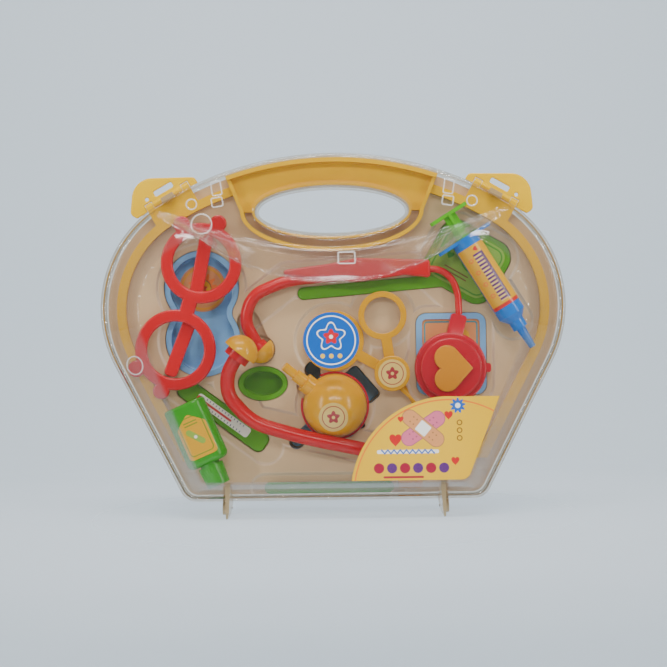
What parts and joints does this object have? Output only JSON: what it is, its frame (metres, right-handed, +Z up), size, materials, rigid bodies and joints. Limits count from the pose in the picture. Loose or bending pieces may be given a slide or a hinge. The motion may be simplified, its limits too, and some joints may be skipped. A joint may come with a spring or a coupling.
{
  "type": "toy doctor case",
  "caption": "Clear clamshell play case with a yellow hooped carrying handle, swing-over latches and a formed tray of toy doctor's instruments.",
  "frame": {"origin": "centre of the footprint on the surface that the feet stand on", "axes": "+X along the case's width, +Y from the front panel to the back, +Z up"},
  "size_m": [0.309, 0.0703, 0.2405],
  "materials": {
    "clear_plastic": "clear, polished",
    "tan_clear_plastic": "clear with a warm tint, formed sheet",
    "yellow_plastic": "smooth",
    "red_plastic": "smooth",
    "blue_plastic": "smooth",
    "green_plastic": "smooth",
    "lime_plastic": "smooth",
    "orange_plastic": "smooth",
    "amber_plastic": "satin",
    "sticker_paper": "gloss printed",
    "blue_sticker_paper": "gloss printed",
    "steel": "drawn wire"
  },
  "bodies": {
    "case_back": {"blister_tray": "tan_clear_plastic", "bottle_cap": "green_plastic", "bottle_label": "sticker_paper", "bulb_sticker": "sticker_paper", "card_frame": "blue_plastic", "card_picture": "orange_plastic", "chest_heart": "amber_plastic", "chest_piece": "red_plastic", "dish_label": "sticker_paper", "ear_tip_lower": "yellow_plastic", "ear_tip_upper": "yellow_plastic", "gauge_ring": "red_plastic", "glasses_front": "red_plastic", "glasses_temple_lower": "red_plastic", "glasses_temple_upper": "red_plastic", "headset_arm": "red_plastic", "headset_band": "red_plastic", "hinge_pin_left": "steel", "hinge_pin_right": "steel", "kidney_dish": "blue_plastic", "latch_pin_left": "steel", "latch_pin_right": "steel", "medicine_bottle": "green_plastic", "mirror_label": "sticker_paper", "mirror_paddle": "green_plastic", "oval_dish": "green_plastic", "pill_box": "orange_plastic", "rear_shell": "clear_plastic", "reflex_hammer": "blue_plastic", "scissors_left": "yellow_plastic", "scissors_rivet": "yellow_plastic", "scissors_sticker": "sticker_paper", "spatula": "green_plastic", "squeeze_bulb": "yellow_plastic", "syringe_barrel": "blue_plastic", "syringe_label": "sticker_paper", "thermometer": "green_plastic", "thermometer_label": "sticker_paper", "tweezers": "blue_plastic", "yellow_frame": "yellow_plastic"},
    "case_front": {"front_shell": "clear_plastic", "round_sticker": "blue_sticker_paper", "fan_label": "sticker_paper"},
    "latch_left": {"latch_left": "yellow_plastic"},
    "latch_right": {"latch_right": "yellow_plastic"},
    "plunger": {"syringe_plunger": "lime_plastic"},
    "scissors_right": {"scissors_right": "yellow_plastic"}
  },
  "joints": [
    {"name": "case_hinge", "type": "hinge", "parent": "case_back", "child": "case_front", "pos_m": [0, 0, 0.0045], "axis": [1, 0, 0], "range_deg": [0, 180]},
    {"name": "latch_right_hinge", "type": "hinge", "parent": "case_back", "child": "latch_right", "pos_m": [0.11017, 0.003, 0.21399], "axis": [0.8695, 0, -0.4939], "range_deg": [0, 90]},
    {"name": "latch_left_hinge", "type": "hinge", "parent": "case_back", "child": "latch_left", "pos_m": [-0.11017, 0.003, 0.21399], "axis": [0.8695, 0, 0.4939], "range_deg": [0, 90]},
    {"name": "plunger_slide", "type": "slide", "parent": "case_back", "child": "plunger", "axis": [0.5255, 0, -0.8508], "range_m": [0, 0.015]},
    {"name": "scissors_pivot", "type": "hinge", "parent": "case_back", "child": "scissors_right", "pos_m": [0.0389, 0.0019, 0.0933], "axis": [0, 1, 0], "range_deg": [0, 25]}
  ]
}
